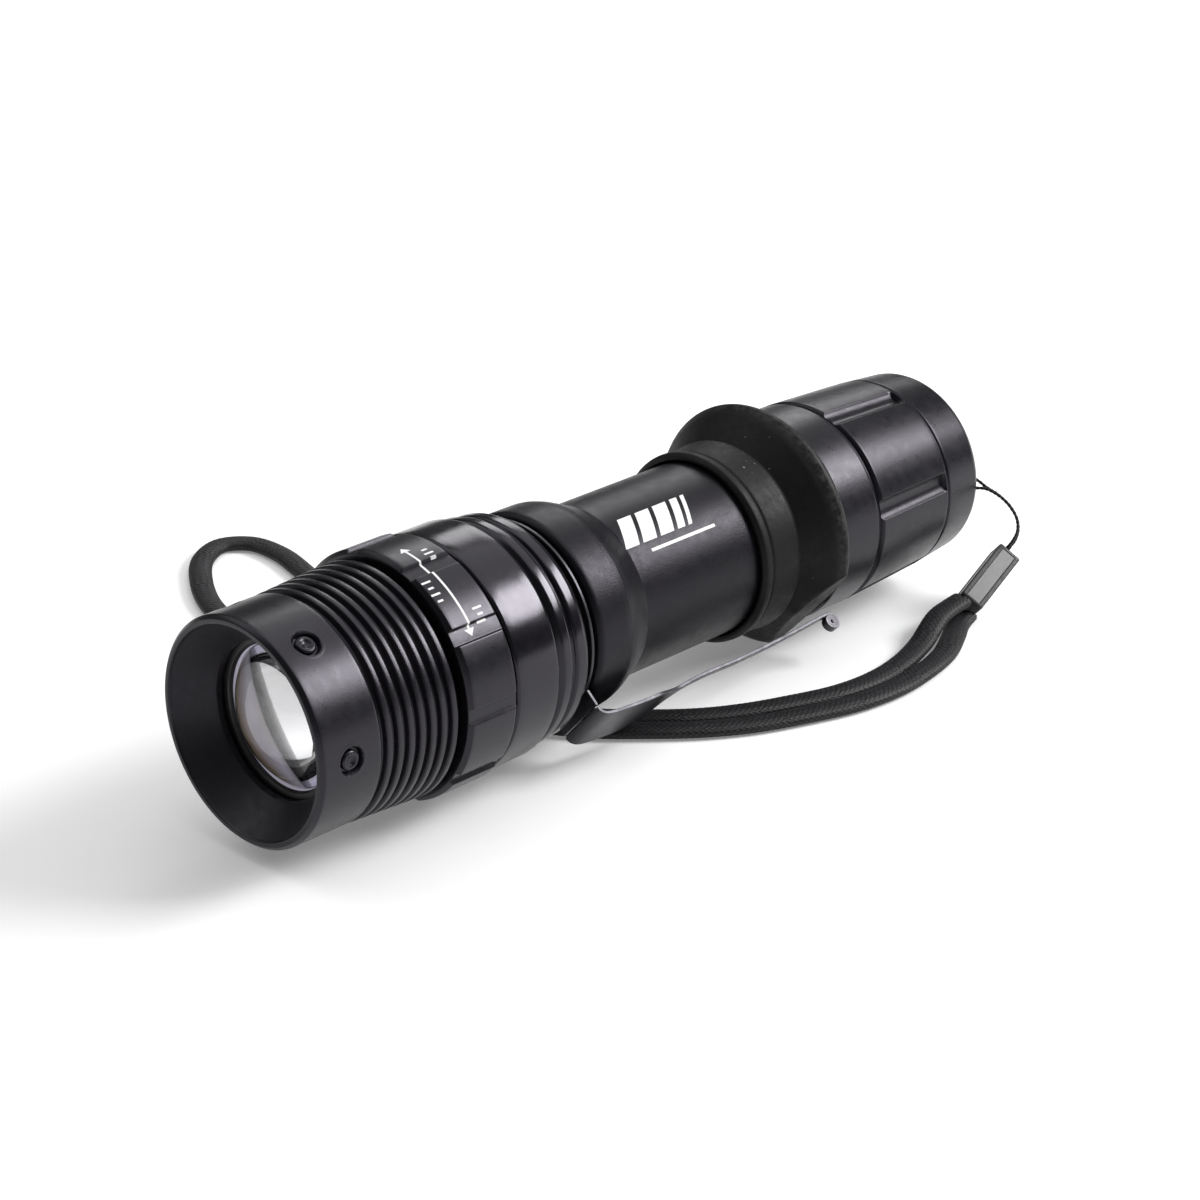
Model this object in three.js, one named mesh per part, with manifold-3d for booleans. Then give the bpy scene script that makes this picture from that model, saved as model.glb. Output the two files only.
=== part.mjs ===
// A focusing tactical flashlight lying on its side.
// Millimetres, +Z up. The optical axis runs along Y: the beam leaves towards -Y, the tail is at +Y.
// Stations are distances along the axis from the front rim; angles are measured round the axis
// from straight up (+Z) towards +X.
import * as THREE from 'three';
import { mergeVertices } from 'three/addons/utils/BufferGeometryUtils.js';
import Module from 'manifold-3d';

// ---------- driving dimensions ----------
const LENGTH = 130;               // front rim to tail rim
const FLANGE_RADIUS = 17.9;       // rubber ring, the widest part: it carries the flashlight
const BEZEL_RADIUS = 15.5;
const HOUSING_RADIUS = 16.7;
const ZOOM_RADIUS = 17.1;
const SHOULDER_RADIUS = 14.8;
const BARREL_RADIUS = 12.7;
const TAIL_FRONT_RADIUS = 15.3;
const TAIL_REAR_RADIUS = 13.9;

const SLIDE_BORE = 12.9;          // bezel and zoom ring bore
const SLEEVE_RADIUS = 12.5;       // fixed sleeve that both run on
const PILL_BORE = 10.2;
const BATTERY_BORE = 10.6;
const THREAD_BORE = 12.6;
const THREAD_RADIUS = 12.2;
const SEAL_BORE = 13.0;
const GAP = 0.3;                  // clearance between neighbouring faces

const RIB_COUNT = 7;
const RIB_START = 9.9;
const RIB_PITCH = 1.74;
const RIB_DEPTH = 0.8;
const RIB_RISE = 0.1;             // from one crest to the next
const RIB_VALLEY = 0.6;
const RIB_FLANK = 0.22;
const PIN_COUNT = 6;
const PIN_STATION = 4.8;
const PIN_RADIUS = 1.25;
const PIN_FIRST_ANGLE = 30;
const LENS_DOME_RADIUS = 12.9;
const LENS_APEX = 2.9;
const ZOOM_GROOVES = 10;
const ZOOM_GROOVE_ANGLE = 19;
const ZOOM_GROOVE_WIDTH = 2.2;
const ZOOM_GROOVE_DEPTH = 0.5;
const FLUTES = 6;
const FLUTE_ANGLE = 18;
const FLUTE_RADIUS = 1.9;

const CLIP_ANGLE = 132;
const CLIP_ROOT_WIDTH = 9;        // at the collar and the bend
const CLIP_ARM_WIDTH = 1.2;
const CLIP_THICKNESS = 0.5;
const CLIP_ROOT = 16.1;           // distance from the axis where the collar's tab meets the arm
const CLIP_FLAT = 15.0;           // distance of the flat that lets the arm pass the flange
const LANYARD_ANGLE = 93;
const CORD_RADIUS = 0.25;
const STRAP_HALF_WIDTH = 1.8;
const STRAP_HALF_THICKNESS = 0.9;
const CRIMP_WIDTH = 3.8;
const CRIMP_DEPTH = 3.9;

const FINE = 32;                  // segments of the large turned parts
const COARSE = 24;                // segments of the inner parts
const WIRE_SIDES = 6;

// ---------- materials ----------
const finish = (color, roughness, metalness) =>
  new THREE.MeshStandardMaterial({ color, roughness, metalness });
const anodised = () => finish(0x1b1a1e, 0.38, 0.85);
const glossAnodised = () => finish(0x151418, 0.22, 0.85);
const rubber = () => finish(0x17171a, 0.85, 0);
const sealRubber = () => finish(0x0c0c0d, 0.7, 0);
const steel = () => finish(0x8d8f92, 0.3, 1);
const blackSteel = () => finish(0x29292c, 0.32, 0.9);
const brass = () => finish(0xb08d4a, 0.35, 1);
const aluminium = () => finish(0xa9abad, 0.4, 1);
const boardGreen = () => finish(0x1f5a3a, 0.5, 0);
const nylon = () => finish(0x1a181c, 0.9, 0);

// ---------- geometry helpers ----------
const radians = (degrees) => THREE.MathUtils.degToRad(degrees);

// An outline of [radius, station] points, turned so that its surface faces out.
function profile(outline) {
  const points = outline.map(([radius, station]) => new THREE.Vector2(radius, station));
  return THREE.ShapeUtils.area(points) < 0 ? points.reverse() : points;
}

// A turned solid whose outline starts and ends on the axis.
function turnedSolid(outline, segments = COARSE) {
  return new THREE.LatheGeometry(profile(outline), segments);
}

// A turned ring whose outline closes on itself.
function turnedRing(outline, segments = COARSE) {
  const points = profile(outline);
  return new THREE.LatheGeometry([...points, points[0]], segments);
}

function ringWithSection(radius, station, sectionRadius, sides = 6) {
  const section = Array.from({ length: sides }, (_, i) => {
    const angle = (2 * Math.PI * i) / sides;
    return [radius + sectionRadius * Math.cos(angle), station + sectionRadius * Math.sin(angle)];
  });
  return turnedRing(section);
}

const wasm = await Module();
wasm.setup();

function toManifold(geometry) {
  const bare = geometry.clone();
  bare.deleteAttribute('normal');
  bare.deleteAttribute('uv');
  const merged = mergeVertices(bare, 1e-4);
  return new wasm.Manifold(new wasm.Mesh({
    numProp: 3,
    vertProperties: new Float32Array(merged.attributes.position.array),
    triVerts: new Uint32Array(merged.index.array),
  }));
}

function toGeometry(manifold) {
  const mesh = manifold.getMesh();
  const geometry = new THREE.BufferGeometry();
  geometry.setAttribute('position', new THREE.BufferAttribute(mesh.vertProperties, 3));
  geometry.setIndex(new THREE.BufferAttribute(mesh.triVerts, 1));
  geometry.computeVertexNormals();
  return geometry;
}

function cut(geometry, tools) {
  const left = tools.reduce((solid, tool) => solid.subtract(toManifold(tool)), toManifold(geometry));
  return toGeometry(left);
}

function join(first, second) {
  return toGeometry(toManifold(first).add(toManifold(second)));
}

function radialDirection(angle) {
  return new THREE.Vector3(Math.sin(radians(angle)), 0, Math.cos(radians(angle)));
}

// Axes of a piece drawn flat in the plane through the axis at this angle:
// x runs along the station, y outwards and z round the axis.
function planeAt(angle) {
  const alongAxis = new THREE.Vector3(0, 1, 0);
  const outwards = radialDirection(angle);
  const round = new THREE.Vector3().crossVectors(alongAxis, outwards);
  return new THREE.Matrix4().makeBasis(alongAxis, outwards, round);
}

// A cylinder along a radius, from one distance to another.
function radialCylinder(radius, from, to, station, angle, sides = 12) {
  const geometry = new THREE.CylinderGeometry(radius, radius, to - from, sides);
  geometry.translate(0, (from + to) / 2, 0);
  geometry.rotateX(Math.PI / 2);
  geometry.rotateY(radians(angle));
  geometry.translate(0, station, 0);
  return geometry;
}

// A coil spring of round wire along the axis.
class Coil extends THREE.Curve {
  constructor(startRadius, endRadius, startStation, endStation, turns) {
    super();
    Object.assign(this, { startRadius, endRadius, startStation, endStation, turns });
  }

  getPoint(t, target = new THREE.Vector3()) {
    const radius = THREE.MathUtils.lerp(this.startRadius, this.endRadius, t);
    const turn = 2 * Math.PI * this.turns * t;
    const station = THREE.MathUtils.lerp(this.startStation, this.endStation, t);
    return target.set(radius * Math.sin(turn), station, radius * Math.cos(turn));
  }
}

function ellipseShape(halfWidth, halfHeight, sides) {
  const points = Array.from({ length: sides }, (_, i) => {
    const angle = (2 * Math.PI * (i + 0.5)) / sides;
    return new THREE.Vector2(halfWidth * Math.cos(angle), halfHeight * Math.sin(angle));
  });
  return new THREE.Shape(points);
}

function sweep(curve, halfWidth, halfHeight, sides, steps) {
  const shape = ellipseShape(halfWidth, halfHeight, sides);
  return new THREE.ExtrudeGeometry(shape, { steps, extrudePath: curve, curveSegments: 1 });
}

// ---------- bezel, lens and their fasteners ----------
// The ribs' crests rise a little from the front one to the rear one.
function ribOutline() {
  const points = [];
  for (let i = 0; i < RIB_COUNT; i += 1) {
    const start = RIB_START + i * RIB_PITCH;
    const crest = BEZEL_RADIUS + RIB_RISE * (i + 1);
    const valley = crest - RIB_DEPTH;
    points.push([valley, start], [valley, start + RIB_VALLEY]);
    points.push([crest, start + RIB_VALLEY + RIB_FLANK], [crest, start + RIB_PITCH - RIB_FLANK]);
  }
  return points;
}

const pinAngles = () => Array.from({ length: PIN_COUNT }, (_, i) =>
  PIN_FIRST_ANGLE + (360 / PIN_COUNT) * i);

function bezelGeometry() {
  const shell = turnedRing([
    [14.3, 0], [15.0, 0], [BEZEL_RADIUS, 0.5], [BEZEL_RADIUS, RIB_START - 0.2],
    ...ribOutline(),
    [15.6, 22.2], [SLIDE_BORE, 22.2], [SLIDE_BORE, 5.9], [10.7, 5.9], [10.7, 4.9], [14.0, 0.3],
  ], FINE);
  const holes = pinAngles().map((angle) =>
    radialCylinder(PIN_RADIUS + GAP, 13.6, 17, PIN_STATION, angle));
  return cut(shell, holes);
}

// A dome in front and a flat back, with a flange that sits in the bezel.
function lensGeometry() {
  const dome = [0, 14, 28, 40, 48.8].map((angle) => [
    LENS_DOME_RADIUS * Math.sin(radians(angle)),
    LENS_APEX + LENS_DOME_RADIUS * (1 - Math.cos(radians(angle))),
  ]);
  return turnedSolid([...dome, [12.5, 7.3], [12.5, 8.9], [0, 8.9]]);
}

const lensGasketGeometry = () => turnedRing([[10.0, 6.2], [12.5, 6.2], [12.5, 7.0], [10.0, 7.0]]);

const lensRetainerGeometry = () => turnedRing([[9.6, 9.2], [12.5, 9.2], [12.5, 11.2], [9.6, 11.2]]);

const pinGeometry = (angle) => radialCylinder(PIN_RADIUS, 13.9, 15.3, PIN_STATION, angle, 8);

// ---------- zoom ring ----------
function zoomRingGeometry() {
  const ring = turnedRing([
    [SLIDE_BORE, 23.3], [16.5, 23.3], [ZOOM_RADIUS, 23.8], [ZOOM_RADIUS, 31.2], [16.7, 31.6],
    [SLIDE_BORE, 31.6],
  ], FINE);
  const toolHeight = 1.2;
  const grooves = Array.from({ length: ZOOM_GROOVES }, (_, i) => {
    const groove = new THREE.BoxGeometry(ZOOM_GROOVE_WIDTH, 9, toolHeight);
    groove.translate(0, 27.6, ZOOM_RADIUS - ZOOM_GROOVE_DEPTH + toolHeight / 2);
    return groove.rotateY(radians(ZOOM_GROOVE_ANGLE + (360 / ZOOM_GROOVES) * i));
  });
  return cut(ring, grooves);
}

// ---------- fixed head: sleeve, housing and light engine ----------
function headBaseGeometry() {
  return turnedRing([
    [PILL_BORE, 12.2], [SLEEVE_RADIUS, 12.2], [SLEEVE_RADIUS, 13.6], [11.2, 13.6], [11.2, 15.2],
    [SLEEVE_RADIUS, 15.2], [SLEEVE_RADIUS, 31.95], [16.4, 31.95], [HOUSING_RADIUS, 32.3],
    [HOUSING_RADIUS, 39.4], [15.6, 39.9], [15.6, 40.3], [16.2, 40.9], [16.2, 42.4], [15.4, 43.0],
    [15.9, 43.6], [15.9, 45.2], [14.9, 46.4], [SEAL_BORE, 46.4], [SEAL_BORE, 44.9],
    [THREAD_BORE, 44.9], [THREAD_BORE, 36.2], [PILL_BORE, 36.2],
  ], FINE);
}

const sleeveSealGeometry = () => ringWithSection(12.0, 14.4, 0.5);

const ledPillGeometry = () => turnedSolid([
  [0, 16.9], [9.8, 16.9], [9.8, 33.4], [8.9, 33.4], [8.9, 20.0], [0, 20.0],
]);

const ledBoardGeometry = () => turnedSolid([[0, 15.4], [8.0, 15.4], [8.0, 16.6], [0, 16.6]]);

function ledEmitterGeometry() {
  const substrate = new THREE.BoxGeometry(3.45, 0.7, 3.45);
  substrate.translate(0, 14.75, 0);
  const dome = turnedSolid([[0, 13.2], [0.8, 13.45], [1.25, 14.0], [1.3, 14.6], [0, 14.6]], 12);
  return join(substrate, dome);
}

const driverBoardGeometry = () => turnedSolid([[0, 31.2], [8.5, 31.2], [8.5, 32.6], [0, 32.6]]);

const driverSpringGeometry = () =>
  sweep(new Coil(3.4, 2.0, 33.25, 36.7, 3), 0.3, 0.3, WIRE_SIDES, 30);

// ---------- body: barrel, grip ring and battery ----------
function barrelGeometry() {
  return turnedRing([
    [BATTERY_BORE, 36.5], [THREAD_RADIUS, 36.5], [THREAD_RADIUS, 44.9], [11.6, 44.9],
    [11.6, 46.3], [THREAD_RADIUS, 46.3], [THREAD_RADIUS, 46.8], [BARREL_RADIUS, 46.8],
    [BARREL_RADIUS, 48.9], [14.2, 48.9], [SHOULDER_RADIUS, 49.6], [SHOULDER_RADIUS, 54.4],
    [14.5, 55.8], [13.9, 57.4], [13.2, 58.8], [12.85, 60.2], [BARREL_RADIUS, 62],
    [BARREL_RADIUS, 97.4],
    [THREAD_RADIUS, 97.4], [THREAD_RADIUS, 98.5], [11.6, 98.5], [11.6, 99.9],
    [THREAD_RADIUS, 99.9], [THREAD_RADIUS, 109.0], [BATTERY_BORE, 109.0],
  ], FINE);
}

const neckSealGeometry = () => ringWithSection(12.35, 45.6, 0.4);
const tailSealGeometry = () => ringWithSection(12.35, 99.2, 0.4);

// The flange is cut away beside the clip so that the arm can pass it.
function gripRingGeometry() {
  const ring = turnedRing([
    [13.0, 82.4], [13.6, 82.4], [14.0, 83.2], [14.0, 84.0], [13.7, 84.6], [14.1, 89.8],
    [13.9, 90.2], [17.3, 94.0], [FLANGE_RADIUS, 95.0], [17.5, 96.2], [15.4, 97.0], [13.0, 97.0],
  ], FINE);
  const flat = new THREE.BoxGeometry(30, 12, 10);
  flat.translate(0, 92, CLIP_FLAT + 5);
  flat.rotateY(radians(CLIP_ANGLE));
  return cut(ring, [flat]);
}

const batterySleeveGeometry = () => turnedRing([[9.5, 39], [10.3, 39], [10.3, 102], [9.5, 102]]);

const batteryCellGeometry = () => turnedSolid([
  [0, 37.4], [2.9, 37.4], [2.9, 38.4], [8.7, 38.4], [9.15, 38.9], [9.15, 102.4], [0, 102.4],
]);

// ---------- pocket clip: a collar and its sprung arm ----------
function clipCollarGeometry() {
  const station = 48;
  const tabStart = 13.3;
  const collar = turnedRing([[13.1, 47.75], [14.3, 47.75], [14.3, 48.25], [13.1, 48.25]], FINE);
  const tab = new THREE.BoxGeometry(CLIP_ROOT_WIDTH, CLIP_THICKNESS, CLIP_ROOT - tabStart);
  tab.translate(0, station, (CLIP_ROOT + tabStart) / 2);
  return join(collar, tab.rotateY(radians(CLIP_ANGLE)));
}

// The arm's centreline as [station, distance from the axis]: out of the collar, round a bend,
// back along the barrel and into an open curl.
function clipCentreline() {
  const run = new THREE.SplineCurve([
    [48.0, 16.4], [48.1, 17.0], [48.6, 17.5], [49.5, 17.8], [54.5, 18.2], [59.5, 18.25],
    [64, 17.75], [70, 17.35], [78, 17.45], [87, 17.25], [96.2, 16.75],
  ].map(([station, distance]) => new THREE.Vector2(station, distance)));
  const curlRadius = 1.2;
  const curl = Array.from({ length: 9 }, (_, i) => {
    const angle = radians(-90 + 34 * i);
    return new THREE.Vector2(
      97.4 + curlRadius * Math.cos(angle), 17.95 + curlRadius * Math.sin(angle));
  });
  return [...run.getPoints(24), ...curl];
}

// Half the strip's width: full at the root, then drawn in to the slender arm.
function clipHalfWidth(station) {
  const drawnIn = THREE.MathUtils.smoothstep(station, 58, 66);
  return THREE.MathUtils.lerp(CLIP_ROOT_WIDTH, CLIP_ARM_WIDTH, drawnIn) / 2;
}

// A strip of sheet that follows the centreline, closed at both ends.
function clipArmGeometry() {
  const centreline = clipCentreline();
  const positions = [];
  centreline.forEach((point, i) => {
    const before = centreline[Math.max(i - 1, 0)];
    const after = centreline[Math.min(i + 1, centreline.length - 1)];
    const along = after.clone().sub(before).normalize();
    const across = new THREE.Vector2(-along.y, along.x).multiplyScalar(CLIP_THICKNESS / 2);
    const half = clipHalfWidth(point.x);
    [[1, 1], [1, -1], [-1, -1], [-1, 1]].forEach(([side, edge]) => {
      positions.push(point.x + side * across.x, point.y + side * across.y, edge * half);
    });
  });
  const faces = [0, 1, 2, 0, 2, 3];
  for (let i = 0; i < centreline.length - 1; i += 1) {
    for (let k = 0; k < 4; k += 1) {
      const near = 4 * i + k;
      const nextNear = 4 * i + ((k + 1) % 4);
      faces.push(near, near + 4, nextNear, nextNear, near + 4, nextNear + 4);
    }
  }
  const last = 4 * (centreline.length - 1);
  faces.push(last, last + 2, last + 1, last, last + 3, last + 2);
  const strip = new THREE.BufferGeometry();
  strip.setAttribute('position', new THREE.Float32BufferAttribute(positions, 3));
  strip.setIndex(faces);
  strip.computeVertexNormals();
  return strip.applyMatrix4(planeAt(CLIP_ANGLE));
}

// ---------- tail cap and switch ----------
function tailCapGeometry() {
  const cap = turnedRing([
    [SEAL_BORE, 97.7], [15.0, 97.7], [TAIL_FRONT_RADIUS, 98.1], [TAIL_FRONT_RADIUS, 105.4],
    [14.8, 105.8], [14.8, 106.2], [TAIL_FRONT_RADIUS, 106.6], [14.6, 122.0], [14.3, 122.2],
    [14.5, 122.6], [TAIL_REAR_RADIUS, 129.6], [13.5, LENGTH], [11.4, LENGTH], [11.4, 119.4],
    [8.4, 119.4], [8.4, 117.6], [11.4, 117.6], [11.4, 109.6], [THREAD_BORE, 109.6],
    [THREAD_BORE, 100.2], [SEAL_BORE, 100.2],
  ], FINE);
  return cut(cap, [...fluteTools(), lanyardHoleTool()]);
}

// Round-bottomed flutes that run out towards the rear with the cap's taper.
function fluteTools() {
  return Array.from({ length: FLUTES }, (_, i) => {
    const flute = new THREE.CylinderGeometry(FLUTE_RADIUS, FLUTE_RADIUS, 15.6, 12);
    flute.rotateX(radians(-2.6));
    flute.translate(0, 114.1, 16.1);
    return flute.rotateY(radians(FLUTE_ANGLE + (360 / FLUTES) * i));
  });
}

// A slanted hole from the rear face into the thumb recess.
function lanyardHoleTool() {
  const hole = new THREE.CylinderGeometry(0.75, 0.75, 8, 12);
  hole.rotateX(radians(26));
  hole.translate(0, 128.4, 11.85);
  return hole.rotateY(radians(LANYARD_ANGLE));
}

const tailSpringGeometry = () =>
  sweep(new Coil(4.6, 5.6, 102.85, 109.35, 4), 0.4, 0.4, WIRE_SIDES, 40);

const switchBoardGeometry = () =>
  turnedSolid([[0, 109.9], [11.0, 109.9], [11.0, 111.2], [0, 111.2]]);

const switchRetainerGeometry = () =>
  turnedRing([[8.0, 111.5], [11.0, 111.5], [11.0, 113.5], [8.0, 113.5]]);

const switchBodyGeometry = () => turnedSolid([
  [0, 111.5], [5.4, 111.5], [5.4, 116.6], [2.8, 116.6], [2.8, 112.8], [0, 112.8],
]);

const switchPlungerGeometry = () => turnedSolid([
  [0, 115.0], [2.4, 115.0], [2.4, 119.6], [4.6, 119.6], [4.6, 121.4], [0, 121.4],
], 16);

function switchBootGeometry() {
  return turnedSolid([
    [0, 121.8], [6.2, 121.8], [6.2, 116.1], [10.9, 116.1], [10.9, 117.3], [7.9, 117.3],
    [7.9, 123.4], [7.3, 124.4], [5.2, 125.2], [0, 125.5],
  ]);
}

// ---------- wrist lanyard, lying on the ground beside and under the body ----------
const vector = ([x, y, z]) => new THREE.Vector3(x, y, z);

// Thin cord: from the crimp, through the slanted hole in the tail rim and back to the crimp.
const THREAD_ROUTE = [
  [17.75, 67.02, 7.68], [17.72, 67.5, 7.95], [18.9, 67.5, 9.6], [19.8, 67.4, 11.6],
  [19.7, 67.2, 13.6], [18.4, 67.0, 15.4], [16.4, 66.7, 16.6], [14.5, 66.2, 17.2],
  [13.2, 65.4, 17.2], [12.4, 64.2, 17.2], [11.2, 62.1, 17.2], [9.9, 61.8, 17.6],
  [9.3, 63.2, 18.2], [9.8, 64.9, 18.5], [11.0, 66.0, 18.5], [12.6, 66.6, 17.9],
  [14.2, 66.75, 17.2], [16.1, 67.2, 16.4], [18.0, 67.5, 15.1], [19.3, 67.75, 13.4],
  [19.5, 68.0, 11.5], [19.0, 68.1, 9.7], [18.1, 68.3, 8.4], [17.66, 67.93, 7.39],
  [17.72, 67.29, 7.1],
];

// Braided strap: out of the crimp, along the ground, under the neck, round the loop and back.
const STRAP_ROUTE = [
  [19.3, 56.5, 1.25], [20.2, 53.5, 0.95], [22.2, 50, 0.9], [25.2, 44, 0.9], [26.9, 37, 0.9],
  [27.5, 30, 0.9], [26.6, 22.6, 0.9], [23.9, 14.6, 0.9], [20.8, 7.6, 0.9], [16.6, 1.4, 0.9],
  [10.9, -4.7, 0.9], [6.5, -8.8, 0.9], [0, -12.8, 0.9], [-10, -16.4, 0.9], [-24, -19.4, 0.9],
  [-40, -21.4, 0.9], [-53, -21.6, 0.9], [-63, -19.3, 0.9], [-71.8, -14.4, 0.9],
  [-78.4, -8.6, 0.9], [-80.6, -3.2, 0.9], [-77.8, 0.4, 0.9], [-71.5, 0.9, 0.9],
  [-63, -1.2, 0.9], [-50, -5, 0.9], [-36, -7.9, 0.9], [-20, -10.4, 0.9],
  [-2.0, -8.8, 0.9], [3.6, -5.8, 0.9], [8.0, -2.0, 0.9], [13.6, 4.0, 0.9], [17.3, 9.8, 0.9],
  [20.2, 16.3, 0.9], [22.7, 23.4, 0.9], [23.5, 30, 0.9], [22.9, 36.6, 0.9], [21.2, 43.4, 1.3],
  [19.2, 50.0, 3.0], [18.7, 53.6, 3.3], [18.7, 56.2, 3.6],
];

function threadGeometry() {
  const route = new THREE.CatmullRomCurve3(THREAD_ROUTE.map(vector), false, 'centripetal');
  return sweep(route, CORD_RADIUS, CORD_RADIUS, 8, 30);
}

function strapGeometry() {
  const route = new THREE.CatmullRomCurve3(STRAP_ROUTE.map(vector), false, 'centripetal');
  return sweep(route, STRAP_HALF_THICKNESS, STRAP_HALF_WIDTH, 8, 78);
}

// Square crimp between the thin cord and the strap.
const CRIMP_LOW_END = vector([18.95, 57.0, 2.5]);
const CRIMP_HIGH_END = vector([18.0, 67.2, 7.1]);

function crimpGeometry() {
  const along = CRIMP_HIGH_END.clone().sub(CRIMP_LOW_END);
  const bead = new THREE.BoxGeometry(CRIMP_WIDTH, CRIMP_DEPTH, along.length());
  const middle = CRIMP_LOW_END.clone().lerp(CRIMP_HIGH_END, 0.5);
  const upwards = new THREE.Vector3(0, 0, 1);
  const turn = new THREE.Matrix4().lookAt(CRIMP_HIGH_END, CRIMP_LOW_END, upwards);
  bead.applyMatrix4(turn);
  return bead.translate(middle.x, middle.y, middle.z);
}

// ---------- assembly ----------
const flashlight = new THREE.Group();
const alongAxis = new THREE.Group();
alongAxis.position.set(0, -LENGTH / 2, FLANGE_RADIUS);
flashlight.add(alongAxis);

function place(group, name, geometry, material) {
  const mesh = new THREE.Mesh(geometry, material);
  mesh.name = name;
  group.add(mesh);
}

place(alongAxis, 'bezel', bezelGeometry(), anodised());
place(alongAxis, 'lens', lensGeometry(), finish(0xe8ecf4, 0.05, 0));
place(alongAxis, 'lens_gasket', lensGasketGeometry(), sealRubber());
place(alongAxis, 'lens_retainer', lensRetainerGeometry(), blackSteel());
pinAngles().forEach((angle, i) => {
  place(alongAxis, `bezel_pin_${i + 1}`, pinGeometry(angle), anodised());
});
place(alongAxis, 'zoom_ring', zoomRingGeometry(), anodised());
place(alongAxis, 'head_base', headBaseGeometry(), glossAnodised());
place(alongAxis, 'sleeve_o_ring', sleeveSealGeometry(), sealRubber());
place(alongAxis, 'led_pill', ledPillGeometry(), brass());
place(alongAxis, 'led_board', ledBoardGeometry(), aluminium());
place(alongAxis, 'led_emitter', ledEmitterGeometry(), finish(0xe9d27a, 0.3, 0));
place(alongAxis, 'driver_board', driverBoardGeometry(), boardGreen());
place(alongAxis, 'driver_spring', driverSpringGeometry(), brass());
place(alongAxis, 'barrel', barrelGeometry(), anodised());
place(alongAxis, 'neck_o_ring', neckSealGeometry(), sealRubber());
place(alongAxis, 'tail_o_ring', tailSealGeometry(), sealRubber());
place(alongAxis, 'clip_collar', clipCollarGeometry(), blackSteel());
place(alongAxis, 'clip_arm', clipArmGeometry(), blackSteel());
place(alongAxis, 'grip_ring', gripRingGeometry(), rubber());
place(alongAxis, 'battery_sleeve', batterySleeveGeometry(), finish(0xd9d9d4, 0.6, 0));
place(alongAxis, 'battery_cell', batteryCellGeometry(), finish(0x2c6e8f, 0.4, 0));
place(alongAxis, 'tail_cap', tailCapGeometry(), anodised());
place(alongAxis, 'tail_spring', tailSpringGeometry(), steel());
place(alongAxis, 'switch_board', switchBoardGeometry(), boardGreen());
place(alongAxis, 'switch_retainer', switchRetainerGeometry(), brass());
place(alongAxis, 'switch_body', switchBodyGeometry(), finish(0x202022, 0.6, 0));
place(alongAxis, 'switch_plunger', switchPlungerGeometry(), finish(0xc9c7bf, 0.6, 0));
place(alongAxis, 'switch_boot', switchBootGeometry(), rubber());
place(flashlight, 'lanyard_thread', threadGeometry(), nylon());
place(flashlight, 'crimp_bead', crimpGeometry(), finish(0x55555a, 0.45, 0.6));
place(flashlight, 'wrist_strap', strapGeometry(), nylon());

export default flashlight;
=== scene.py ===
import math

import bmesh
import bpy
import numpy as np
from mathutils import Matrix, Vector


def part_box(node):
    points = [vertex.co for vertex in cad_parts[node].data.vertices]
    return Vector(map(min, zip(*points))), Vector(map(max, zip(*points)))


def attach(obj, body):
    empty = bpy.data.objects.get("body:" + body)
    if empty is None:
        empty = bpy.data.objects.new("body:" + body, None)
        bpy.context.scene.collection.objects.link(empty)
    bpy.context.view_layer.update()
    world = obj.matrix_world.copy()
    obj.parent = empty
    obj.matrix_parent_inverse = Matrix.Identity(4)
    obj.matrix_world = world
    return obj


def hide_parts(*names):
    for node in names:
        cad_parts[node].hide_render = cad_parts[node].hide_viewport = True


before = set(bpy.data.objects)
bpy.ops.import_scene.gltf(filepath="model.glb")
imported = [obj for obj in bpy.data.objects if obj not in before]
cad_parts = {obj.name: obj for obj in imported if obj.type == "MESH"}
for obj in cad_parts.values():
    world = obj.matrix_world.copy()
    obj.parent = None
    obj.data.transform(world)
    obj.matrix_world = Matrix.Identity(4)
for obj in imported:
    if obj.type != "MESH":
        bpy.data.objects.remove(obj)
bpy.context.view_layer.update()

MM = 0.001
BARREL_LOW, BARREL_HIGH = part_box("barrel")
AXIS_HEIGHT = (BARREL_LOW.z + BARREL_HIGH.z) / 2
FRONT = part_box("bezel")[0].y

BEZEL_RADIUS = 15.5
ZOOM_RADIUS = 17.1
BARREL_RADIUS = 12.7
PIN_STATION = 4.8
PIN_ANGLES = [30 + 60 * i for i in range(6)]
GROOVE_ANGLES = [19 + 36 * i for i in range(10)]
FLUTE_ANGLES = [18 + 60 * i for i in range(6)]
CLIP_ANGLE = 132
LANYARD_ANGLE = 93


# ---------- camera ----------
def make_camera():
    data = bpy.data.cameras.new("camera")
    data.lens = 93
    data.sensor_width = 36
    data.shift_x, data.shift_y = 0.0008, 0.0008
    data.clip_start = 0.01
    camera = bpy.data.objects.new("camera", data)
    camera.location = (0.2734, -0.2804, 0.1892)
    camera.rotation_mode = "QUATERNION"
    camera.rotation_quaternion = Vector((-0.6397, 0.6529, -0.4056)).to_track_quat("-Z", "Y")
    bpy.context.scene.collection.objects.link(camera)
    bpy.context.scene.camera = camera


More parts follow.
